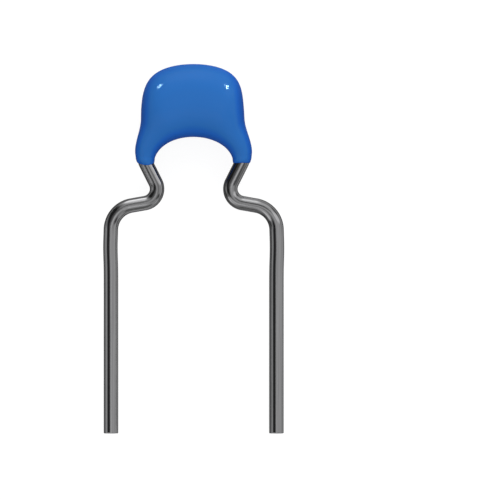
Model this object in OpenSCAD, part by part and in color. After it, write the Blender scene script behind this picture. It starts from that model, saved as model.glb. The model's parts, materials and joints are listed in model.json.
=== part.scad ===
// Radial-lead multilayer ceramic capacitor: a chip of stacked electrodes with two
// tinned wires soldered to its end caps, dipped in epoxy. The wires are kinked
// below the chip so that they stand on the board at a wider pitch.
// Millimetres. Each piece is drawn upright, front towards -Y, with z = 0 where the
// epoxy ends on the wires, and is then laid on its back with its middle on the origin.

/* [Chip] */
// Length of the chip over its two end caps
chip_l = 2.0; // [1.7:0.05:2.3]
// Height of the chip, along the wires
chip_w = 1.25; // [1.0:0.05:1.5]
// Thickness of the chip, front to back
chip_t = 0.85; // [0.6:0.05:1.1]
// Height of the chip's lower side above the end of the epoxy
chip_lift = 1.29; // [1.2:0.01:1.5]

/* [Electrodes] */
// Number of electrodes that reach each end cap
plates_per_end = 10; // [2:1:20]
// Thickness of one electrode
plate_t = 0.002; // [0.001:0.001:0.005]
// Blank ceramic on the front and on the back of the stack
cover_t = 0.085; // [0.05:0.005:0.15]
// Ceramic between an electrode's long edge and the side of the chip
side_margin = 0.15; // [0.05:0.01:0.3]
// Ceramic between an electrode's tip and the far end of the chip
end_margin = 0.22; // [0.1:0.01:0.4]

/* [End caps] */
// Thickness of the fired copper
copper_t = 0.03; // [0.01:0.005:0.05]
// Thickness of the nickel barrier
nickel_t = 0.004; // [0.002:0.001:0.008]
// Thickness of the tin finish
tin_t = 0.006; // [0.003:0.001:0.01]
// Length of the copper band along the chip's sides
band_l = 0.4; // [0.2:0.05:0.6]

/* [Wires] */
// Diameter of a wire
lead_d = 0.45; // [0.4:0.01:0.55]
// Distance between the wires where they enter the board
lead_pitch = 5.08; // [4.8:0.02:6.5]
// Length of a wire below the end of the epoxy, measured straight down
lead_drop = 8.27; // [4:0.01:20]
// Length of wire that lies along the end cap
lap_l = 0.75; // [0.6:0.01:0.9]
// How far a wire bows out between the chip and the end of the epoxy
bow_out = 0.305; // [0.25:0.005:0.4]
// Bend radius of the bow, at the wire's centre
bow_r = 0.79; // [0.7:0.01:0.9]
// Lean of a wire above the bow, in degrees from straight up
bow_lean = 18; // [14:1:22]
// Lean of a wire where it leaves the epoxy, in degrees from straight up
splay = 26.6; // [20:0.1:32]
// Straight stretch between the end of the epoxy and the inner bend
slant_l = 0.635; // [0.4:0.005:1]
// Radius of the inner bend, at the wire's centre
inner_r = 0.442; // [0.35:0.002:0.5]
// Slope of the run between the two bends, in degrees from level
run_slope = 10; // [0:1:20]
// Radius of the outer bend, at the wire's centre
outer_r = 0.755; // [0.5:0.005:0.85]

/* [Solder] */
// Solder between a wire and the end cap, where they are closest
joint_gap = 0.01; // [0.005:0.001:0.02]
// Thickness of the solder film at its outer edge
solder_film = 0.012; // [0.008:0.001:0.02]
// Width of the solder on the end cap, front to back
solder_w = 0.72; // [0.5:0.01:0.8]
// Angle round the wire, past its widest point, that the solder climbs to
solder_climb = 20; // [5:1:30]
// Bare end cap above the chip's lower side before the solder starts
solder_inset = 0.06; // [0.03:0.01:0.2]

/* [Epoxy] */
// Epoxy outside the wires, beside the chip
side_film = 0.14; // [0.1:0.01:0.3]
// Epoxy above the chip
top_film = 0.53; // [0.35:0.01:0.8]
// Epoxy between the chip and the arch below it
arch_film = 0.46; // [0.3:0.01:0.6]
// Epoxy in front of the chip and behind it
face_film = 0.50; // [0.3:0.01:0.8]
// Epoxy outside the wires where they bow out furthest
hip_film = 0.03; // [0.02:0.005:0.1]
// Epoxy left on a wire at the very end, seen from the front
lip_film = 0.015; // [0.01:0.005:0.05]
// Epoxy left on a wire at the very end, seen from the side
lip_face_film = 0.045; // [0.02:0.005:0.1]
// Depth over which the top rounds over into the sides
shoulder = 0.40; // [0.25:0.01:0.6]
// Height where the sides stop flaring out towards the wires
flare_z = 1.39; // [1.2:0.01:1.8]
// Height of the thickest place
belly_z = 2.085; // [1.9:0.005:2.2]
// Squareness of the arch between the legs: 2 is an ellipse
arch_square = 2.3; // [2:0.1:2.6]
// Squareness of the section through the body: 2 is an ellipse
body_square = 2.4; // [2:0.1:3]

/* [Hidden] */
$fn = 96;

// chip
cap_t = copper_t + nickel_t + tin_t;
ceramic_l = chip_l - 2 * cap_t;
ceramic_w = chip_w - 2 * cap_t;
ceramic_t = chip_t - 2 * cap_t;
chip_top = chip_lift + chip_w;
plates = 2 * plates_per_end;
plate_l = ceramic_l - end_margin;
plate_w = ceramic_w - 2 * side_margin;
plate_step = (ceramic_t - 2 * cover_t - plate_t) / (plates - 1);

// headings of the right-hand wire in the x-z plane, in degrees from +X, tip to chip
up = 90;
run_dir = 180 - run_slope;
slant_dir = 90 - splay;
lean_dir = 90 + bow_lean;

// the right-hand wire's bend centres and corner points, [x, z]
lead_r = lead_d / 2;
lap_x = chip_l / 2 + joint_gap + lead_r;
lap_top = chip_lift + lap_l;
bow_x = lap_x + bow_out;
bow_c = [bow_x - bow_r, bow_r * cos(slant_dir)];
lip_p = bow_c - bow_r * side(slant_dir);
bow_end = bow_c - bow_r * side(lean_dir);
lean_l = (bow_end.x - lap_x - bow_r * (1 - sin(lean_dir))) / -cos(lean_dir);
lean_end = bow_end + lean_l * ahead(lean_dir);
lap_c = lean_end - bow_r * side(lean_dir);
slant_end = lip_p - slant_l * ahead(slant_dir);
inner_c = slant_end - inner_r * side(slant_dir);
inner_end = inner_c + inner_r * side(run_dir);
run_l = (lead_pitch / 2 - outer_r * (1 - sin(run_dir)) - inner_end.x) / -cos(run_dir);
run_end = inner_end - run_l * ahead(run_dir);
outer_c = run_end + outer_r * side(run_dir);
straight_l = lead_drop + outer_c[1];

// epoxy outline, as half-widths from the middle
body_x = lap_x + lead_r + side_film;
hip_x = bow_x + lead_r + hip_film;
hip_z = bow_c[1] + hip_film;
lip_out_x = bow_c.x + sqrt(pow(bow_r + lead_r, 2) - pow(bow_c[1], 2)) + lip_film;
lip_in_x = lip_p.x - lead_r / sin(slant_dir) - lip_film;
arch_z = chip_lift - arch_film;
top_z = chip_top + top_film;
belly_y = chip_t / 2 + face_film;
lip_y = lead_r + lip_face_film;
fan_steps = 60; // sections from one leg round to the other
ring_steps = 36; // points round each section
solve_steps = 40; // halvings when a ray is met with the outline

// unit vectors along a heading and square to it, on the left
function ahead(dir) = [cos(dir), sin(dir)];
function side(dir) = [-sin(dir), cos(dir)];

function clamp01(t) = min(max(t, 0), 1);

// Half-width of the outline at height z. The dome closes as a square root of an
// exponential, the flare is a smooth step and the lip a short parabola.
function outline_x(z) =
    let (
        dome = body_x * sqrt(1 - exp(-max(top_z - z, 0) / shoulder)),
        t = clamp01((z - hip_z) / (flare_z - hip_z)),
        flare = (hip_x - body_x) * pow(1 - t, 2) * (1 + 2 * t),
        lip = (hip_x - lip_out_x) * pow(clamp01(1 - z / hip_z), 2)
    )
    dome + flare - lip;

// Height at which a ray from the origin at angle a meets the outline, by halving.
function outline_z(a, low, high, steps) =
    let (mid = (low + high) / 2)
    steps == 0 ? mid
    : outline_x(mid) * sin(a) > mid * abs(cos(a)) ? outline_z(a, mid, high, steps - 1)
    : outline_z(a, low, mid, steps - 1);

function outer_reach(a) = sin(a) < 0.001 ? outline_x(0) : outline_z(a, 0, top_z, solve_steps) / sin(a);

function inner_reach(a) =
    1 / pow(pow(abs(cos(a)) / lip_in_x, arch_square) + pow(sin(a) / arch_z, arch_square), 1 / arch_square);

// Half-thickness at height z: steady growth from the lip, levelling off at the belly.
function face_y(z) =
    let (t = clamp01(z / belly_z))
    lip_y + (belly_y - lip_y) * (t + t * t - t * t * t);

function signed_pow(v, e) = sign(v) * pow(abs(v), e);

// One section of the epoxy: two half superellipses back to back, from the arch out
// to the outline along a ray at angle a.
function section(a) =
    let (
        low = inner_reach(a),
        high = outer_reach(a),
        belly_share = 0.5 + ((belly_z - arch_z) / (top_z - arch_z) - 0.5) * sin(a),
        wide = low + (high - low) * belly_share,
        half_t = face_y(wide * sin(a)),
        e = 2 / (2 + (body_square - 2) * sin(a))
    )
    [for (i = [0:ring_steps - 1])
        let (
            b = 360 * i / ring_steps,
            reach = wide + (cos(b) > 0 ? high - wide : wide - low) * signed_pow(cos(b), e)
        )
        [reach * cos(a), half_t * signed_pow(sin(b), e), reach * sin(a)]];

epoxy_points = [for (k = [0:fan_steps]) each section(180 * k / fan_steps)];
epoxy_faces = concat(
    [[for (i = [0:ring_steps - 1]) i]],
    [for (k = [0:fan_steps - 1], i = [0:ring_steps - 1])
        let (a = k * ring_steps, j = (i + 1) % ring_steps)
        [a + i, a + ring_steps + i, a + ring_steps + j, a + j]],
    [[for (i = [ring_steps - 1:-1:0]) fan_steps * ring_steps + i]]
);

// Lying on its back, the part touches with the fattest place of the epoxy and with
// both wire tips. The epoxy's point that lifts the body most sets the tilt.
rest_tilt = max([for (p = epoxy_points) atan((p.y - lead_r) / (p.z + lead_drop))]);
rest_top = max([for (p = epoxy_points) p.y * sin(rest_tilt) + p.z * cos(rest_tilt)]);
rest_tip = -lead_r * sin(rest_tilt) - lead_drop * cos(rest_tilt);
rest_lift = lead_r * cos(rest_tilt) + lead_drop * sin(rest_tilt);

function two_digits(i) = i < 10 ? str("0", i) : str(i);
function plate_name(end, i) = str("electrode_", end, "_", two_digits(i));

module at_rest() {
    translate([0, -(rest_top + rest_tip) / 2, rest_lift])
        rotate([rest_tilt - 90, 0, 0])
            children();
}

module on_left() {
    mirror([1, 0, 0]) children();
}

// a block from x0 to x1, centred on the chip's other two axes
module chip_block(x0, x1, t, w) {
    translate([x0, -t / 2, chip_lift + chip_w / 2 - w / 2])
        cube([x1 - x0, t, w]);
}

module ceramic_block() {
    chip_block(-ceramic_l / 2, ceramic_l / 2, ceramic_t, ceramic_w);
}

// outer form of the right-hand cap up to one of its layers: the plating wraps
// round the edge of the copper band
module cap_block(depth, wrap) {
    chip_block(
        ceramic_l / 2 - band_l - wrap, ceramic_l / 2 + depth,
        ceramic_t + 2 * depth, ceramic_w + 2 * depth
    );
}

module copper_block() {
    cap_block(copper_t, 0);
}

module nickel_block() {
    cap_block(copper_t + nickel_t, nickel_t);
}

module tin_block() {
    cap_block(cap_t, nickel_t + tin_t);
}

// electrode number i of the stack, counted from the front: even ones reach the left end
module plate(i) {
    y = -ceramic_t / 2 + cover_t + i * plate_step;
    x = i % 2 == 0 ? -ceramic_l / 2 : ceramic_l / 2 - plate_l;
    translate([x, y, chip_lift + chip_w / 2 - plate_w / 2])
        cube([plate_l, plate_t, plate_w]);
}

// A wire is a chain: each piece draws itself along +Z and carries the next one at
// its far end, so the pieces meet exactly.
module straight(l) {
    cylinder(h = l, d = lead_d);
    translate([0, 0, l]) children();
}

// a bend towards -X
module bend(r, angle) {
    translate([-r, 0, 0])
        rotate([90, 0, 0])
            rotate_extrude(angle = angle)
                translate([r, 0])
                    circle(d = lead_d);
    translate([-r, 0, 0])
        rotate([0, -angle, 0])
            translate([r, 0, 0])
                children();
}

// the same towards +X
module bend_back(r, angle) {
    mirror([1, 0, 0]) bend(r, angle) mirror([1, 0, 0]) children();
}

// the right-hand wire, from its tip up to its end on the chip
module wire() {
    translate([lead_pitch / 2, 0, -lead_drop])
        straight(straight_l)
            bend(outer_r, run_dir - up)
                straight(run_l)
                    bend_back(inner_r, run_dir - slant_dir)
                        straight(slant_l)
                            bend(bow_r, lean_dir - slant_dir)
                                straight(lean_l)
                                    bend_back(bow_r, lean_dir - up)
                                        straight(lap_top - lap_c[1]);
}

// Outer form of the right-hand solder joint: two concave fillets from the end cap
// up to the wire, which fills the place between them.
module joint_block() {
    x0 = chip_l / 2;
    climb = joint_gap + lead_r * (1 + sin(solder_climb));
    top_y = lead_r * cos(solder_climb) - joint_gap;
    steps = 8;
    flank = [for (k = [0:steps])
        let (t = k / steps)
        [x0 + solder_film + (climb - solder_film) * t * t, top_y + (solder_w / 2 - top_y) * (1 - t)]];
    z0 = chip_lift + solder_inset;
    translate([0, 0, z0])
        linear_extrude(height = lap_top - solder_inset - z0)
            polygon(concat(
                [[x0, solder_w / 2]],
                flank,
                [for (k = [steps:-1:0]) [flank[k].x, -flank[k].y]],
                [[x0, -solder_w / 2]]
            ));
}

module epoxy_body() {
    polyhedron(points = epoxy_points, faces = epoxy_faces, convexity = 4);
}

module dielectric() {
    color("wheat") at_rest()
        difference() {
            ceramic_block();
            for (i = [0:plates - 1]) plate(i);
        }
}

module electrode(i) {
    color("dimgray") at_rest() plate(i);
}

module termination() {
    color("chocolate")
        difference() {
            copper_block();
            ceramic_block();
        }
}

module nickel_barrier() {
    color("darkgray")
        difference() {
            nickel_block();
            copper_block();
            ceramic_block();
        }
}

module tin_finish() {
    color("lightgray")
        difference() {
            tin_block();
            nickel_block();
            ceramic_block();
        }
}

module solder() {
    color("silver")
        difference() {
            joint_block();
            wire();
        }
}

module lead() {
    color("slategray") wire();
}

module coating() {
    color([0.18, 0.42, 0.70]) at_rest()
        difference() {
            epoxy_body();
            ceramic_block();
            tin_block();
            on_left() tin_block();
            joint_block();
            on_left() joint_block();
            wire();
            on_left() wire();
        }
}

coating();
dielectric();
at_rest() on_left() lead();  // lead_left
at_rest() lead();  // lead_right
at_rest() on_left() solder();  // solder_left
at_rest() solder();  // solder_right
at_rest() on_left() termination();  // termination_left
at_rest() termination();  // termination_right
at_rest() on_left() nickel_barrier();  // nickel_barrier_left
at_rest() nickel_barrier();  // nickel_barrier_right
at_rest() on_left() tin_finish();  // tin_finish_left
at_rest() tin_finish();  // tin_finish_right
for (i = [1:plates_per_end]) {
    electrode(2 * i - 2);
    electrode(2 * i - 1);
}
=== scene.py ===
import json
import math

import bpy
import numpy as np
from mathutils import Matrix, Vector


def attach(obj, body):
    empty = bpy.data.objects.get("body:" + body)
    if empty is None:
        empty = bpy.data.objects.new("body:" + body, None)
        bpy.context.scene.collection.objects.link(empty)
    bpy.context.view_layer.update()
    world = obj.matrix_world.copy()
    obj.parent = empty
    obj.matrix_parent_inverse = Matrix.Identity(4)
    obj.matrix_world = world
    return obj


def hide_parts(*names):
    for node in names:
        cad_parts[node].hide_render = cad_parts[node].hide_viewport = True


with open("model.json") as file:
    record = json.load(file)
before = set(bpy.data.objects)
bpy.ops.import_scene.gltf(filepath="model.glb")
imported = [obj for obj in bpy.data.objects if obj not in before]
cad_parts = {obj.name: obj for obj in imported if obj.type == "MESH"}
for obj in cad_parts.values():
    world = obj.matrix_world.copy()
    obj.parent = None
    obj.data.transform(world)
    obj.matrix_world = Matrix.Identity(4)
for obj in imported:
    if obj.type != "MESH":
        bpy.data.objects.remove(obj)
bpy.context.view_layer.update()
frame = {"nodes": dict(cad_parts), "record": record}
print("frame: ", len(frame["nodes"]), "nodes")

mm = 0.001  # the shapes below are worked out in millimetres

# The part is drawn upright, with z = 0 where the epoxy ends on the wires, its front
# towards -Y and the board below, and is then laid on its back as the frame has it.
wire = {
    "pitch": 5.08,        # between the two straight stretches
    "drop": 8.27,         # from the end of the epoxy straight down to the tips
    "radius": 0.2235,
    "outerBend": 0.755,   # bend radii, at the wire's centre
    "innerBend": 0.442,
    "bow": 0.79,
    "runSlope": 10,       # degrees from level, between the two bends
    "splay": 26.6,        # degrees from straight up, where it enters the epoxy
    "lean": 18,           # degrees from straight up, on the way in to the chip
    "slant": 0.635,       # straight stretch from the inner bend up to the epoxy
    "lapAt": 1.235,       # the stretch on the chip's end: how far from the middle
    "lapTop": 2.04,       # and the height of its upper end
    "bowOut": 0.305,      # how far the bow stands out past that stretch
    "bulge": 0.018,       # the straight stretch swells outwards a little
    "bulgeBelow": 0.55,   # this far below the outer bend
    "bulgeReach": 0.5,
    "chamfer": 0.012,     # height of the broken edge round the cut tip
    "chamferWide": 1.3,   # its width, in heights
    "faceInner": 0.6,     # a ring that keeps the cut face flat, as a share of its radius
    "rings": 0.03,        # spacing of the rings along the wire
    "around": 72,
}
halvings = 45             # steps when a place is found by halving

# the pin mount gives the way down and the middle of the straight stretch, and from its
# tip the origin lies up by the drop and midway between the wires
pin = next(m for m in frame["record"]["mounts"] if m["name"] == "lead_right")
down = np.array(pin["axis"]) / np.linalg.norm(pin["axis"])
tip = np.array(pin["pos_m"]) + down * pin["dims"]["length_mm"] * mm / 2
across = np.array([1.0, 0.0, 0.0])
rear = np.cross(-down, across)
origin = tip - down * wire["drop"] * mm
origin[0] = 0.0


def lay(points):
    # upright millimetres to the row frame in metres: origin + x across + y rear + z up
    return origin + (points @ np.stack([across, rear, -down])) * mm


def smooth(t):
    # 0 to 1 with level ends: 3t^2 - 2t^3
    t = np.clip(t, 0, 1)
    return t * t * (3 - 2 * t)


def signedPower(v, e):
    # |v|^e with the sign of v
    return np.sign(v) * np.abs(v) ** e


def halve(low, high, isBelow):
    # the place between low and high up to which isBelow holds, by halving the gap
    for _ in range(halvings):
        middle = (low + high) / 2
        below = isBelow(middle)
        low, high = np.where(below, middle, low), np.where(below, high, middle)
    return low


def mirror(points):
    # the right-hand side to the left-hand side: x to -x
    return points * np.array([-1.0, 1.0, 1.0])


def makeGrid(name, rows, startPole, endPole, uv=None, extra=None):
    # A closed skin: rings of points joined by quads, with a fan of triangles from a
    # pole at each end. extra is a second mesh (points, faces) kept in the same piece.
    count, around = rows.shape[:2]
    points = np.concatenate([rows.reshape(-1, 3), [startPole, endPole]])
    i, j = np.meshgrid(np.arange(count - 1), np.arange(around), indexing="ij")
    k = (j + 1) % around
    here, above = i * around, (i + 1) * around
    quads = np.stack([here + j, here + k, above + k, above + j], -1).reshape(-1, 4)
    ring = np.arange(around)
    nextOne = (ring + 1) % around
    last = (count - 1) * around
    first = np.stack([nextOne, ring, np.full(around, count * around)], -1)
    final = np.stack([last + ring, last + nextOne, np.full(around, count * around + 1)], -1)
    faces = quads.tolist() + first.tolist() + final.tolist()
    # the volume is the sum of the tetrahedra from the first point: negative means inside out
    tri = np.concatenate([quads[:, :3], quads[:, [0, 2, 3]], first, final])
    p = points[tri] - points[0]
    if np.einsum("ij,ij->i", p[:, 0], np.cross(p[:, 1], p[:, 2])).sum() < 0:
        faces = [f[::-1] for f in faces]
    if extra is not None:
        shift = len(points)
        points = np.concatenate([points, extra[0]])
        faces += [[v + shift for v in f] for f in extra[1]]
    mesh = bpy.data.meshes.new(name)
    mesh.from_pydata(lay(points).tolist(), [], faces)
    mesh.polygons.foreach_set("use_smooth", np.ones(len(faces), bool))
    if uv is not None:
        # each corner takes its own ring and column, so the seam stays whole
        corner = np.empty(len(mesh.loops), np.int64)
        mesh.loops.foreach_get("vertex_index", corner)
        along = np.append(uv, [uv[0], uv[-1]])[np.minimum(corner // around, count)]
        column = np.where(corner < count * around, corner % around, 0).astype(float)
        start = np.empty(len(mesh.polygons), np.int64)
        total = np.empty(len(mesh.polygons), np.int64)
        mesh.polygons.foreach_get("loop_start", start)
        mesh.polygons.foreach_get("loop_total", total)
        face = np.repeat(np.arange(len(start)), total)
        highest = np.zeros(len(start))
        np.maximum.at(highest, face, column)
        column = np.where((highest[face] == around - 1) & (column == 0), around, column)
        layer = mesh.uv_layers.new(name="UVMap")
        layer.data.foreach_set("uv", np.stack([along, column / around], -1).ravel())
    mesh.update()
    piece = bpy.data.objects.new(name, mesh)
    bpy.context.scene.collection.objects.link(piece)
    return piece


def wireCentre():
    # The right-hand wire from its tip up: straight stretches and bends, each a length and
    # a turn. The heading is a running sum of turns, and each step is a chord of its arc.
    slope, splay, lean = (math.radians(wire[key]) for key in ("runSlope", "splay", "lean"))
    outer, inner, bow, slant = (wire[key] for key in ("outerBend", "innerBend", "bow", "slant"))
    # the run takes up the width left between the pitch and the inner bend
    bowMiddle = wire["lapAt"] + wire["bowOut"] - bow
    slantEnd = bowMiddle + bow * math.cos(splay) - slant * math.sin(splay)
    innerEnd = slantEnd + inner * (math.cos(splay) - math.sin(slope))
    run = (wire["pitch"] / 2 - outer * (1 - math.sin(slope)) - innerEnd) / math.cos(slope)
    # the way in takes up the width left between the bow and the lap, and the lap and the
    # straight stretch take up the heights left above and below the end of the epoxy
    inward = (bowMiddle + 2 * bow * math.cos(lean) - bow - wire["lapAt"]) / math.sin(lean)
    lap = wire["lapTop"] - bow * (math.sin(splay) + 2 * math.sin(lean)) - inward * math.cos(lean)
    bends = outer * math.cos(slope) + inner * (math.sin(splay) + math.cos(slope))
    straight = wire["drop"] - bends - run * math.sin(slope) - slant * math.cos(splay)
    toRun = math.pi / 2 - slope
    toSlant = toRun + splay
    toInward = splay + lean
    stretches = np.array([
        (straight, 0),
        (outer * toRun, toRun),
        (run, 0),
        (inner * toSlant, -toSlant),
        (slant, 0),
        (bow * toInward, toInward),
        (inward, 0),
        (bow * lean, -lean),
        (lap, 0),
    ])
    counts = np.maximum(2, np.ceil(stretches[:, 0] / wire["rings"]).astype(int))
    step, turn = np.repeat(stretches / counts[:, None], counts, axis=0).T
    heading = math.pi / 2 + np.concatenate([[0], np.cumsum(turn)])
    middle = (heading[1:] + heading[:-1]) / 2
    chord = step * np.sinc(turn / (2 * math.pi))
    x = wire["pitch"] / 2 + np.concatenate([[0], np.cumsum(chord * np.cos(middle))])
    z = -wire["drop"] + np.concatenate([[0], np.cumsum(chord * np.sin(middle))])
    s = np.concatenate([[0], np.cumsum(step)])
    return s, x, z, heading, np.cumsum(stretches[:, 0])


wireS, wireX, wireZ, wireHeading, wireEnds = wireCentre()
print("wire:  ", round(wireS[-1], 2), "mm long")


def wireRing(s, b):
    # Points at length s along the right-hand wire and angle b round it (0 faces away from
    # the middle), on a circle square to the wire. The bulge falls off as exp(-t^2).
    x = np.interp(s, wireS, wireX)
    z = np.interp(s, wireS, wireZ)
    heading = np.interp(s, wireS, wireHeading)
    fromBulge = (s - wireEnds[0] + wire["bulgeBelow"]) / wire["bulgeReach"]
    bulge = wire["bulge"] * np.exp(-(fromBulge**2))
    return np.stack([
        x + bulge + wire["radius"] * np.cos(b) * np.sin(heading),
        wire["radius"] * np.sin(b) * np.ones_like(x),
        z - wire["radius"] * np.cos(b) * np.cos(heading),
    ], -1)


def makeWire(name, left):
    # wireRing at every length, with a small chamfer round the cut tip
    b = np.arange(wire["around"]) * 2 * math.pi / wire["around"]
    rings = wireRing(wireS[:, None], b[None, :])
    centre = np.stack([wireX, 0 * wireX, wireZ], -1)
    shrink = 1 - wire["chamferWide"] * wire["chamfer"] / wire["radius"]
    rings[0] = centre[0] + (rings[0] - centre[0]) * shrink
    edge = wireRing(np.full(wire["around"], wire["chamfer"]), b)
    inner = centre[0] + (rings[0] - centre[0]) * wire["faceInner"]
    rings = np.concatenate([[inner], rings[:1], [edge], rings[1:]])
    along = np.concatenate([[0, 0, wire["chamfer"]], wireS[1:]])
    start, end = centre[0], centre[-1]
    if left:
        # mirrored, with the columns in an order that still starts at the right-hand side
        order = (wire["around"] // 2 - np.arange(wire["around"])) % wire["around"]
        rings, start, end = mirror(rings[:, order]), mirror(start), mirror(end)
    return makeGrid(name, rings, start, end, uv=along)


coat = {
    "top": 3.069,         # heights above the end of the epoxy
    "belly": 2.085,
    "flare": 1.39,
    "arch": 0.83,
    "hipFilm": 0.03,      # the hips are this far above the middle of the wires' bow
    "bodyHalf": 1.602,    # half-widths
    "hipHalf": 1.797,
    "lipOuter": 1.69,
    "lipInner": 1.218,
    "bellyHalf": 0.925,   # half-thicknesses
    "lipHalf": 0.27,
    "shoulder": 0.39,     # height over which the top rounds off
    "archSquare": 2.03,   # exponents: 2 is an ellipse, more is squarer
    "bodySquare": 2.4,
    "lean": 0.036,        # the body sits a little to the left of its legs
    "leanAt": 1.8,        # most at this height
    "leanReach": 1.0,
    "lipRise": 0.145,     # angle up the fan from which a leg rounds off on to its wire
    "lipRound": 0.8,      # fullness of that rounding: 1 is a quarter of an ellipse
    "lipSteps": 6,
    "lipSide": 0.025,     # height at which it ends at the sides of the wire
    "lipFront": {"left": -0.04, "right": 0.03},  # and at the front and back of each wire
    "channelSteps": 60,   # rings along the hidden channel for the wire
    "chipHalf": (1.0, 0.425),     # room for the chip: half-width and half-thickness
    "chipHeights": (1.29, 2.54),
    "paintedTopLight": 0.6,       # painted top light: how much less the painted shade deepens the blue on top
    "rows": 220,
    "around": 160,
}
coat["hip"] = wire["bow"] * math.sin(math.radians(wire["splay"])) + coat["hipFilm"]


def outlineHalf(z):
    # half-width at height z: a dome that closes as the square root of an exponential, a
    # smooth step out to the hips and a parabola in to the lip
    below = np.maximum(coat["top"] - z, 0)
    dome = coat["bodyHalf"] * np.sqrt(1 - np.exp(-below / coat["shoulder"]))
    flare = 1 - smooth((z - coat["hip"]) / (coat["flare"] - coat["hip"]))
    lip = np.clip(1 - z / coat["hip"], 0, 1) ** 2
    hips = (coat["hipHalf"] - coat["bodyHalf"]) * flare
    return dome + hips - (coat["hipHalf"] - coat["lipOuter"]) * lip


def outerReach(a):
    # distance from the origin to the outline along a ray at angle a, by halving in height
    height = halve(np.zeros_like(a), np.full_like(a, coat["top"]),
                   lambda z: outlineHalf(z) * np.sin(a) > z * np.abs(np.cos(a)))
    return height / np.sin(a)


def innerReach(a):
    # the arch between the legs: the superellipse (x / width)^n + (z / height)^n = 1
    n = coat["archSquare"]
    x, z = np.abs(np.cos(a)) / coat["lipInner"], np.sin(a) / coat["arch"]
    return (x**n + z**n) ** (-1 / n)


def coatPoint(a, b):
    # Section at fan angle a, and b round it: two half superellipses back to back, from
    # the arch out to the outline. Its half-thickness goes from the lip's to the belly's as
    # t + t^2 - t^3 of the height t, and its lean to the left falls off as exp(-t^2).
    low, high = innerReach(a), outerReach(a)
    share = (coat["belly"] - coat["arch"]) / (coat["top"] - coat["arch"])
    wide = low + (high - low) * (0.5 + (share - 0.5) * np.sin(a))
    t = np.clip(wide * np.sin(a) / coat["belly"], 0, 1)
    half = coat["lipHalf"] + (coat["bellyHalf"] - coat["lipHalf"]) * (t + t**2 - t**3)
    e = 2 / (2 + (coat["bodySquare"] - 2) * np.sin(a))
    reach = wide + np.where(np.cos(b) > 0, high - wide, wide - low) * signedPower(np.cos(b), e)
    x = reach * np.cos(a)
    y = half * signedPower(np.sin(b), e)
    z = reach * np.sin(a)
    x = x - coat["lean"] * np.exp(-(((z - coat["leanAt"]) / coat["leanReach"]) ** 2))
    return np.stack([x + 0 * y, y, z + 0 * y], -1)


def lipRings(b, edge, left):
    # From the edge of a leg a rounding leads on to the wire: down as sin t, and inwards
    # as a power of 1 - cos t. From there the skin follows the wire up to its end, so that
    # the coat has a channel for it. Where it lands on the wire is found by halving.
    front = coat["lipFront"]["left" if left else "right"]
    level = coat["lipSide"] + (front - coat["lipSide"]) * np.sin(b) ** 2
    landing = halve(np.full_like(b, wireEnds[3]), np.full_like(b, wireEnds[5]),
                    lambda s: wireRing(s, b)[:, 2] < level)
    meet = wireRing(landing, b)
    if left:
        meet = mirror(meet)
    turn = np.radians(np.linspace(0, 90, coat["lipSteps"] + 1))[1:, None, None]
    rounding = edge + (meet - edge) * (1 - np.cos(turn)) ** coat["lipRound"]
    rounding[..., 2] = edge[..., 2] + (meet[..., 2] - edge[..., 2]) * np.sin(turn[..., 0])
    share = smooth(np.linspace(0, 1, coat["channelSteps"]))[1:, None]
    channel = wireRing(landing + (wireS[-1] - landing) * share, b[None, :])
    if left:
        channel = mirror(channel)
    return np.concatenate([rounding, channel])


def makeCoat(name):
    # coatPoint over the whole fan, from the right lip to the left, and lipRings at both
    b = np.arange(coat["around"]) * 2 * math.pi / coat["around"]
    a = np.linspace(coat["lipRise"], math.pi - coat["lipRise"], coat["rows"])
    fan = coatPoint(a[:, None], b[None, :])
    right = lipRings(b, fan[0], False)
    leftSide = lipRings(b, fan[-1], True)
    rows = np.concatenate([right[::-1], fan, leftSide])
    end = np.array([wireX[-1], 0, wireZ[-1]])
    piece = makeGrid(name, rows, end, mirror(end), extra=chipPocket())
    # painted shade: how far the skin has turned away from the front and back, one minus the cosine, and
    # less on top, as painted light from above
    normal = np.empty(len(piece.data.vertices) * 3)
    piece.data.vertex_normals.foreach_get("vector", normal)
    normal = normal.reshape(-1, 3)
    topLight = 1 - coat["paintedTopLight"] * np.maximum(normal @ -down, 0)
    paintedShade = piece.data.attributes.new("paintedShade", "FLOAT", "POINT")
    paintedShade.data.foreach_set("value", (1 - np.abs(normal @ rear)) * topLight)
    return piece


def chipPocket():
    # the room for the chip: a box whose faces look inwards
    x, y = coat["chipHalf"]
    signs = [(-1, -1), (1, -1), (-1, 1), (1, 1)]
    corners = np.array([[i * x, j * y, z] for z in coat["chipHeights"] for i, j in signs])
    faces = [[0, 1, 3, 2], [4, 6, 7, 5], [0, 4, 5, 1], [2, 3, 7, 6], [0, 2, 6, 4], [1, 5, 7, 3]]
    return corners, faces


def newMaterial(name):
    # a material with the shader that every Blender material starts with
    material = bpy.data.materials.new(name)
    material.use_nodes = True
    tree = material.node_tree
    shader = tree.nodes["Principled BSDF"]
    return material, tree, shader


def addNode(tree, kind, inputs=None, **settings):
    # a node with its settings, and its sockets given by name or number
    node = tree.nodes.new(kind)
    for key, value in settings.items():
        setattr(node, key, value)
    for key, value in (inputs or {}).items():
        if isinstance(value, bpy.types.NodeSocket):
            tree.links.new(value, node.inputs[key])
        else:
            node.inputs[key].default_value = value
    return node


def ramp(tree, fac, stops):
    # a colour for each value of fac, from stops of position and colour
    node = addNode(tree, "ShaderNodeValToRGB", {"Fac": fac})
    element = node.color_ramp.elements
    element[0].position, element[0].color = stops[0][0], (*stops[0][1], 1)
    element[1].position, element[1].color = stops[-1][0], (*stops[-1][1], 1)
    for position, colour in stops[1:-1]:
        element.new(position).color = (*colour, 1)
    return node.outputs["Color"]


def mapValue(tree, value, low, high, toLow, toHigh):
    # the straight line that takes low to toLow and high to toHigh, and stops there
    return addNode(tree, "ShaderNodeMapRange", {
        "Value": value, "From Min": low, "From Max": high, "To Min": toLow, "To Max": toHigh,
    }).outputs["Result"]


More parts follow.
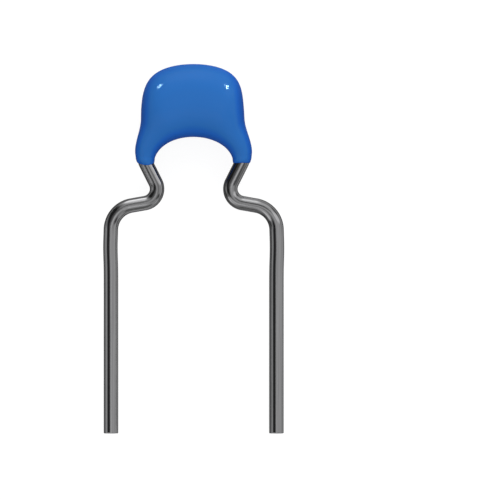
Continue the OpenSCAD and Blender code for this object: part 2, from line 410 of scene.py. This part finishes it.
def spread(tree, noise, toLow, toHigh):
    # nearly all of a noise lies between 0.3 and 0.7, which is spread over a new range
    return mapValue(tree, noise.outputs["Fac"], 0.3, 0.7, toLow, toHigh)


def addBump(tree, shader, height, strength, distance):
    # relief of the given height map on the whole shader
    bump = addNode(tree, "ShaderNodeBump", {
        "Height": height, "Strength": strength, "Distance": distance,
    })
    tree.links.new(bump.outputs["Normal"], shader.inputs["Normal"])
    return bump


epoxy = {
    "bluesAndPaintedShade": [            # the blue and its painted shade: how far the skin has turned over, and its colour there
        (0.18, (0.026, 0.150, 0.48)),
        (0.36, (0.014, 0.120, 0.51)),
        (0.80, (0.000, 0.072, 0.40)),
    ],
    "mottle": 0.02,
    "mottleScale": 900,   # noise cells a metre
    "peelScale": 5000,
    "peel": (0.01, 0.00001),  # strength and depth of the orange peel
    "roughness": 0.09,
    "gloss": 0.07,        # share of the clear skin that shows over the blue
}


def epoxyFinish():
    # blue with painted shade that deepens it round the edge and less on top, a faint mottle and a very
    # fine orange peel
    material, tree, shader = newMaterial("blueEpoxy")
    place = addNode(tree, "ShaderNodeTexCoord").outputs["Object"]
    paintedShade = addNode(tree, "ShaderNodeAttribute", attribute_name="paintedShade").outputs["Fac"]
    cloud = addNode(tree, "ShaderNodeTexNoise", {
        "Vector": place, "Scale": epoxy["mottleScale"], "Detail": 3, "Roughness": 0.5,
    })
    tone = spread(tree, cloud, -epoxy["mottle"], epoxy["mottle"])
    share = addNode(tree, "ShaderNodeMath", {0: paintedShade, 1: tone}, operation="ADD")
    colour = ramp(tree, share.outputs[0], epoxy["bluesAndPaintedShade"])
    tree.links.new(colour, shader.inputs["Base Color"])
    fine = addNode(tree, "ShaderNodeTexNoise", {
        "Vector": place, "Scale": epoxy["peelScale"], "Detail": 2,
    })
    bump = addBump(tree, shader, fine.outputs["Fac"], *epoxy["peel"])
    tree.links.new(bump.outputs["Normal"], shader.inputs["Coat Normal"])
    shader.inputs["Specular IOR Level"].default_value = 0
    shader.inputs["Coat Weight"].default_value = epoxy["gloss"]
    shader.inputs["Coat Roughness"].default_value = epoxy["roughness"]
    return material


tinned = {
    "colour": (0.26, 0.26, 0.265),
    "rim": (0.35, 0.35, 0.35),    # tint of what it mirrors at a grazing angle
    "roughness": 0.07,
    "roughRange": (0.8, 1.3),     # shares of the roughness, on plain skin and in the lines
    "broad": (0.12, 2.5, 2.5),    # scales of the drawing lines, partly real and partly painted reflection streaks, along the wire and round it
    "fine": (0.5, 9, 9),
    "pits": (14, 12, 12),
    "reel": (31, 17),             # where on the reel each wire was cut, for its own pattern
    "lines": (0.2, 0.52),         # depth of the lines, on the straight and formed stretch
    "lineRange": (0.6, 1.4),      # sum of broad and fine, from all line to none
    "formed": (-0.2, 0.3),        # the formed stretch fades in here, from the outer bend
    "paintedSideShade": (0.6, 0.35),        # painted shade on the sides: how much darker they are, left and right
    "sideShadeEdge": (0.62, 0.92),    # and between which cosines of the way round that fades in
    "free": (0.165, 0.55),        # no painted side shade here, from the middle of the run, and full from the second
    "paintedDarkLine": (0.603, 0.03),     # a painted dark reflection line along the wire: place and width round it
    "darkLineDepth": 0.6,
    "relief": (0.7, 1.5),         # height of the bump, on the straight and formed stretch
    "bump": (0.12, 0.000004),     # strength and depth
}


def tinnedFinish(name, reel):
    # Drawn and tinned wire; reel is the place on the reel that it was cut from. The UV map
    # gives the length in millimetres and the way round, which is turned into a point on a
    # circle, so that the lines meet at the seam.
    material, tree, shader = newMaterial(name)
    uv = addNode(tree, "ShaderNodeUVMap", uv_map="UVMap").outputs["UV"]
    split = addNode(tree, "ShaderNodeSeparateXYZ", {0: uv})
    length, way = split.outputs["X"], split.outputs["Y"]

    def calc(kind, first, second=0.0):
        return addNode(tree, "ShaderNodeMath", {0: first, 1: second}, operation=kind).outputs[0]

    angle = calc("MULTIPLY", way, 2 * math.pi)
    side = calc("COSINE", angle)
    skin = addNode(tree, "ShaderNodeCombineXYZ", {0: length, 1: side, 2: calc("SINE", angle)}).outputs[0]

    def streaks(scale, detail):
        place = addNode(tree, "ShaderNodeMapping", {
            "Vector": skin, "Scale": scale, "Location": (reel, 0, 0),
        })
        noise = addNode(tree, "ShaderNodeTexNoise", {
            "Vector": place.outputs[0], "Scale": 1, "Detail": detail,
        })
        return spread(tree, noise, 0, 1)

    # the lines darken the colour: partly drawing lines, partly painted reflection streaks
    broad = streaks(tinned["broad"], 2)
    fine = streaks(tinned["fine"], 3)
    pits = streaks(tinned["pits"], 3)
    formStart, formEnd = tinned["formed"]
    formed = mapValue(tree, length, wireEnds[0] + formStart, wireEnds[0] + formEnd, 0, 1)
    lines = mapValue(tree, calc("ADD", broad, fine), *tinned["lineRange"], 1, 0)
    depth = mapValue(tree, formed, 0, 1, *tinned["lines"])
    shade = calc("SUBTRACT", 1, calc("MULTIPLY", lines, depth))

    # painted shade: the sides are darker, but not on the run
    away = calc("ABSOLUTE", calc("SUBTRACT", length, (wireEnds[1] + wireEnds[2]) / 2))
    offRun = mapValue(tree, away, *tinned["free"], 0, 1)
    shadeFrom, shadeTo = tinned["sideShadeEdge"]
    left = mapValue(tree, side, -shadeFrom, -shadeTo, 0, tinned["paintedSideShade"][0])
    right = mapValue(tree, side, shadeFrom, shadeTo, 0, tinned["paintedSideShade"][1])
    sideShade = calc("SUBTRACT", 1, calc("MULTIPLY", calc("ADD", left, right), offRun))

    # the painted dark reflection line is darkest in its middle
    near = calc("ABSOLUTE", calc("SUBTRACT", way, tinned["paintedDarkLine"][0]))
    darkLine = mapValue(tree, near, 0, tinned["paintedDarkLine"][1], 1 - tinned["darkLineDepth"], 1)
    level = calc("MULTIPLY", calc("MULTIPLY", shade, sideShade), darkLine)
    colour = ramp(tree, level, [(0, (0, 0, 0)), (1, tinned["colour"])])
    tree.links.new(colour, shader.inputs["Base Color"])
    smoothest, roughest = (share * tinned["roughness"] for share in tinned["roughRange"])
    tree.links.new(mapValue(tree, lines, 0, 1, smoothest, roughest), shader.inputs["Roughness"])
    relief = mapValue(tree, formed, 0, 1, *tinned["relief"])
    addBump(tree, shader, calc("MULTIPLY", calc("ADD", fine, pits), relief), *tinned["bump"])
    shader.inputs["Metallic"].default_value = 1.0
    shader.inputs["Specular Tint"].default_value = (*tinned["rim"], 1)
    return material


grain = {
    "roughRange": (0.8, 1.2),     # shares of the roughness, in dark and in light grain
    "bump": (0.3, 0.000002),      # strength and depth
}


def grainyFinish(name, colour, roughness, metallic, scale, depth):
    # a fired or plated surface: speckle in colour and roughness, on Object coordinates
    material, tree, shader = newMaterial(name)
    place = addNode(tree, "ShaderNodeTexCoord").outputs["Object"]
    speckle = addNode(tree, "ShaderNodeTexNoise", {
        "Vector": place, "Scale": scale, "Detail": 4, "Roughness": 0.6,
    })
    dark = tuple(c * (1 - depth) for c in colour)
    shade = ramp(tree, spread(tree, speckle, 0, 1), [(0, dark), (1, colour)])
    tree.links.new(shade, shader.inputs["Base Color"])
    smoothest, roughest = (share * roughness for share in grain["roughRange"])
    tree.links.new(spread(tree, speckle, smoothest, roughest), shader.inputs["Roughness"])
    addBump(tree, shader, speckle.outputs["Fac"], *grain["bump"])
    shader.inputs["Metallic"].default_value = metallic
    return material


coatPiece = makeCoat("epoxyCoat")
wirePieces = [makeWire("wireLeft", True), makeWire("wireRight", False)]
coatPiece.data.materials.append(epoxyFinish())
wirePieces[0].data.materials.append(tinnedFinish("tinnedWireLeft", tinned["reel"][0]))
wirePieces[1].data.materials.append(tinnedFinish("tinnedWireRight", tinned["reel"][1]))
for piece, node, slot in [
    (coatPiece, "coating", "epoxy"),
    (wirePieces[0], "lead_left", "wire"),
    (wirePieces[1], "lead_right", "wire"),
]:
    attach(piece, "root")
    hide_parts(node)
print("coat:  ", len(coatPiece.data.polygons), "faces")
print("wires: ", len(wirePieces[0].data.polygons), "faces each")

# the pieces inside keep their CAD shape and get a finish: colour, roughness, metal or
# not, noise cells a metre and depth of the speckle
inside = {
    "dielectric": grainyFinish("firedCeramic", (0.57, 0.42, 0.26), 0.6, 0.0, 30000, 0.25),
    "electrode": grainyFinish("electrodeMetal", (0.30, 0.29, 0.27), 0.45, 1.0, 40000, 0.3),
    "termination": grainyFinish("firedCopper", (0.72, 0.33, 0.19), 0.4, 1.0, 20000, 0.3),
    "nickel_barrier": grainyFinish("platedNickel", (0.50, 0.46, 0.40), 0.3, 1.0, 20000, 0.2),
    "tin_finish": grainyFinish("platedTin", (0.62, 0.62, 0.63), 0.45, 1.0, 25000, 0.2),
    "solder": grainyFinish("solderAlloy", (0.55, 0.56, 0.58), 0.28, 1.0, 15000, 0.2),
}
for name, node in frame["nodes"].items():
    for kind, material in inside.items():
        if name.startswith(kind):
            node.data.materials.clear()
            node.data.materials.append(material)
print("chip:  ", len(inside), "finishes")

view = {
    "centre": (1.7285, -2.641),   # upright x and z in the middle of the picture
    "across": 15.354,             # width of the picture at the wires
    "distance": 150,              # from the camera to the wires
    "sensor": 36,
    "clip": (0.001, 10),          # metres
}

studio = {
    "floorHalf": 1.5,     # metres
    "floorColour": (0.2, 0.2, 0.2, 1),
    "floorGlow": 0.88,    # what the floor adds for the camera and in reflections
    "white": (1, 1, 1, 1),
    "dome": 1.0,          # its brightness where no box or card is
    "edge": 0.5,          # how far in from its rim a box or card has faded in
    # Soft boxes and dark cards in the dome, each placed where it would show on a mirror
    # ball seen from above: right, up, half-width, half-height, turn and brightness.
    "patches": [
        (0.00, -0.66, 0.80, 0.26, 0, 0.6),
        (-0.60, 0.05, 0.50, 0.80, 0, 0.55),
        (0.18, 0.54, 0.40, 0.30, 0, 1.5),
        (-0.05, 0.58, 0.26, 0.26, 0, 3.4),
        (-0.40, 0.24, 0.52, 0.24, -62, 0.06),
        (-0.28, 0.00, 0.22, 0.15, 0, 0.06),
        (-0.16, 0.09, 0.16, 0.11, -27, 0.3),
        (-0.62, -0.02, 0.12, 0.14, 0, 0.9),
        (-0.68, -0.26, 0.14, 0.34, 15, 0.06),
        (-0.30, -0.29, 0.36, 0.16, 12, 1.8),
        (0.00, -0.23, 0.14, 0.13, 0, 1.9),
        (0.40, 0.21, 0.32, 0.13, 5, 1.9),
        (-0.02, -0.60, 0.26, 0.14, 0, 0.3),
        (0.66, -0.33, 0.14, 0.28, -20, 0.4),
        (0.10, -0.06, 0.10, 0.06, -27, 1.4),
        (0.36, -0.18, 0.18, 0.10, -20, 0.25),
        (0.06, 0.18, 0.22, 0.10, 10, 0.4),
        (0.17, -0.46, 0.12, 0.10, 0, 0.4),
        (0.58, 0.47, 0.22, 0.20, 0, 0.45),
    ],
    # Two lamps for the glints on the shoulders: degrees from the straight view and round
    # from the right, half the angles they fill outwards and round, and brightness.
    "glints": [
        {"polar": 58, "turn": 45, "outwards": 7.5, "round": 6, "strength": 470},
        {"polar": 56, "turn": 131.5, "outwards": 6, "round": 5, "strength": 300},
    ],
    "glintColour": (0.45, 0.8, 1.0),
    "glintDistance": 0.2,
}


def makeFloor():
    # a wide plate under the part, white, which keeps the part's shadow
    half = studio["floorHalf"]
    mesh = bpy.data.meshes.new("floor")
    corners = [(-half, -half, 0), (half, -half, 0), (half, half, 0), (-half, half, 0)]
    mesh.from_pydata(corners, [], [(0, 1, 2, 3)])
    floor = bpy.data.objects.new("floor", mesh)
    bpy.context.scene.collection.objects.link(floor)
    material = bpy.data.materials.new("whiteTable")
    material.use_nodes = True
    tree = material.node_tree
    tree.nodes.remove(tree.nodes["Principled BSDF"])
    path = addNode(tree, "ShaderNodeLightPath").outputs
    seen = path["Is Camera Ray"]
    for kind in ("Is Glossy Ray", "Is Transmission Ray"):
        seen = addNode(tree, "ShaderNodeMath", {0: seen, 1: path[kind]}, operation="MAXIMUM").outputs[0]
    lift = addNode(tree, "ShaderNodeMath", {0: seen, 1: studio["floorGlow"]}, operation="MULTIPLY")
    glow = addNode(tree, "ShaderNodeEmission", {"Color": studio["white"], "Strength": lift.outputs[0]})
    matt = addNode(tree, "ShaderNodeBsdfDiffuse", {"Color": studio["floorColour"]})
    both = addNode(tree, "ShaderNodeAddShader", {0: matt.outputs[0], 1: glow.outputs[0]})
    tree.links.new(both.outputs[0], tree.nodes["Material Output"].inputs["Surface"])
    mesh.materials.append(material)


def makeDome():
    # White all round for the camera. For the part's own light, soft boxes and dark cards
    # are placed on the half-way vector between a ray and the straight view down, which is
    # their sum made one long.
    world = bpy.data.worlds.new("dome")
    bpy.context.scene.world = world
    world.use_nodes = True
    tree = world.node_tree

    def vector(kind, first, second=(0, 0, 0)):
        node = addNode(tree, "ShaderNodeVectorMath", {0: first, 1: tuple(second)}, operation=kind)
        return node.outputs["Value" if kind == "DOT_PRODUCT" else "Vector"]

    ray = addNode(tree, "ShaderNodeTexCoord").outputs["Generated"]
    half = vector("NORMALIZE", vector("ADD", ray, -rear))
    ball = addNode(tree, "ShaderNodeCombineXYZ", {
        0: vector("DOT_PRODUCT", half, across), 1: vector("DOT_PRODUCT", half, -down),
    }).outputs[0]
    level = studio["dome"]
    for x, y, wide, high, turn, bright in studio["patches"]:
        place = addNode(tree, "ShaderNodeMapping", {
            "Vector": ball, "Location": (x, y, 0), "Rotation": (0, 0, math.radians(turn)),
            "Scale": (wide, high, 1),
        }, vector_type="TEXTURE").outputs[0]
        spot = addNode(tree, "ShaderNodeTexGradient", {"Vector": place}, gradient_type="SPHERICAL")
        share = addNode(tree, "ShaderNodeMapRange", {
            "Value": spot.outputs["Fac"], "From Max": studio["edge"],
        }, interpolation_type="SMOOTHSTEP").outputs[0]
        level = addNode(tree, "ShaderNodeMix", {0: share, 2: level, 3: bright}).outputs[0]
    path = addNode(tree, "ShaderNodeLightPath")
    seen = addNode(tree, "ShaderNodeMix", {0: path.outputs["Is Camera Ray"], 2: level, 3: 1.0})
    background = tree.nodes["Background"]
    tree.links.new(seen.outputs[0], background.inputs["Strength"])
    background.inputs["Color"].default_value = studio["white"]


def makeGlints():
    # small lamps that only show in the gloss of the coat
    middle = Vector(lay(np.array([[0, 0, coat["belly"]]]))[0])
    away = studio["glintDistance"]
    lit = bpy.data.collections.new("glossy")
    lit.objects.link(coatPiece)
    for glint in studio["glints"]:
        polar, angle = math.radians(glint["polar"]), math.radians(glint["turn"])
        aside = Vector(across) * math.cos(angle) + Vector(-down) * math.sin(angle)
        way = Vector(-rear) * math.cos(polar) + aside * math.sin(polar)
        outwards = aside * math.cos(polar) + Vector(rear) * math.sin(polar)
        lamp = bpy.data.lights.new("glint", "AREA")
        lamp.shape = "ELLIPSE"
        lamp.size = 2 * away * math.tan(math.radians(glint["outwards"]))
        lamp.size_y = 2 * away * math.tan(math.radians(glint["round"]))
        # watts are the brightness times pi times the area of the ellipse
        lamp.energy = glint["strength"] * math.pi**2 * lamp.size * lamp.size_y / 4
        lamp.color = studio["glintColour"]
        piece = bpy.data.objects.new("glint", lamp)
        turn = Matrix((outwards, way.cross(outwards), way)).transposed().to_4x4()
        piece.matrix_world = Matrix.Translation(middle + way * away) @ turn
        piece.visible_diffuse = False
        piece.visible_camera = False
        piece.light_linking.receiver_collection = lit
        bpy.context.scene.collection.objects.link(piece)


def makeCamera():
    # straight down on the plane of the two wires, far away
    data = bpy.data.cameras.new("camera")
    camera = bpy.data.objects.new("camera", data)
    bpy.context.scene.collection.objects.link(camera)
    x, z = view["centre"]
    data.sensor_width = view["sensor"]
    data.lens = view["sensor"] * view["distance"] / view["across"]
    data.clip_start, data.clip_end = view["clip"]
    aim = lay(np.array([[x, 0, z]]))[0]
    place = np.eye(4)
    place[:3, 0], place[:3, 1], place[:3, 2] = across, -down, -rear
    place[:3, 3] = aim - rear * view["distance"] * mm
    camera.matrix_world = Matrix(place)
    bpy.context.scene.camera = camera


makeFloor()
makeDome()
makeGlints()
makeCamera()
bpy.context.scene.view_settings.view_transform = "Standard"
print("studio: ready")
